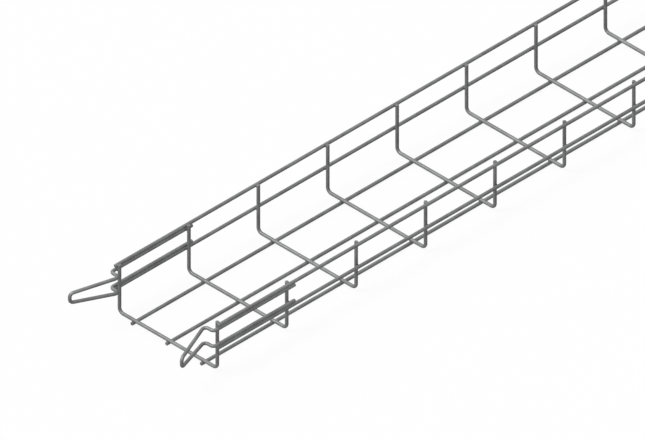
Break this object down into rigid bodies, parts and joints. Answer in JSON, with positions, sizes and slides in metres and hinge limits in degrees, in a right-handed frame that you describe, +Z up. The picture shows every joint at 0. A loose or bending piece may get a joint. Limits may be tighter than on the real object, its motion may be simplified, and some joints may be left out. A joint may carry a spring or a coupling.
{
  "type": "wire mesh cable basket",
  "caption": "Welded wire mesh cable tray of U-shaped cross wires and straight lengthwise wires, with hairpin coupling loops at one end",
  "frame": {"origin": "on the ground, at the middle of the overall width and of the overall length with its coupling loops", "axes": "+X across the tray, +Y along it away from the coupling loops, +Z up out of its open top"},
  "size_m": [0.1652, 3.0664, 0.064],
  "materials": {
    "galvanised_wire": "zinc galvanised steel wire, satin"
  },
  "bodies": {
    "root": {"cross_wire_01": "galvanised_wire", "cross_wire_02": "galvanised_wire", "cross_wire_03": "galvanised_wire", "cross_wire_04": "galvanised_wire", "cross_wire_05": "galvanised_wire", "cross_wire_06": "galvanised_wire", "cross_wire_07": "galvanised_wire", "cross_wire_08": "galvanised_wire", "cross_wire_09": "galvanised_wire", "cross_wire_10": "galvanised_wire", "cross_wire_11": "galvanised_wire", "cross_wire_12": "galvanised_wire", "cross_wire_13": "galvanised_wire", "cross_wire_14": "galvanised_wire", "cross_wire_15": "galvanised_wire", "cross_wire_16": "galvanised_wire", "cross_wire_17": "galvanised_wire", "cross_wire_18": "galvanised_wire", "cross_wire_19": "galvanised_wire", "cross_wire_20": "galvanised_wire", "cross_wire_21": "galvanised_wire", "cross_wire_22": "galvanised_wire", "cross_wire_23": "galvanised_wire", "cross_wire_24": "galvanised_wire", "cross_wire_25": "galvanised_wire", "cross_wire_26": "galvanised_wire", "cross_wire_27": "galvanised_wire", "cross_wire_28": "galvanised_wire", "cross_wire_29": "galvanised_wire", "cross_wire_30": "galvanised_wire", "cross_wire_31": "galvanised_wire", "floor_wire_left": "galvanised_wire", "floor_wire_middle": "galvanised_wire", "floor_wire_right": "galvanised_wire", "top_side_wire_left": "galvanised_wire", "top_side_wire_right": "galvanised_wire", "middle_side_wire_left": "galvanised_wire", "middle_side_wire_right": "galvanised_wire", "coupling_loop_left": "galvanised_wire", "coupling_loop_right": "galvanised_wire"}
  },
  "joints": []
}
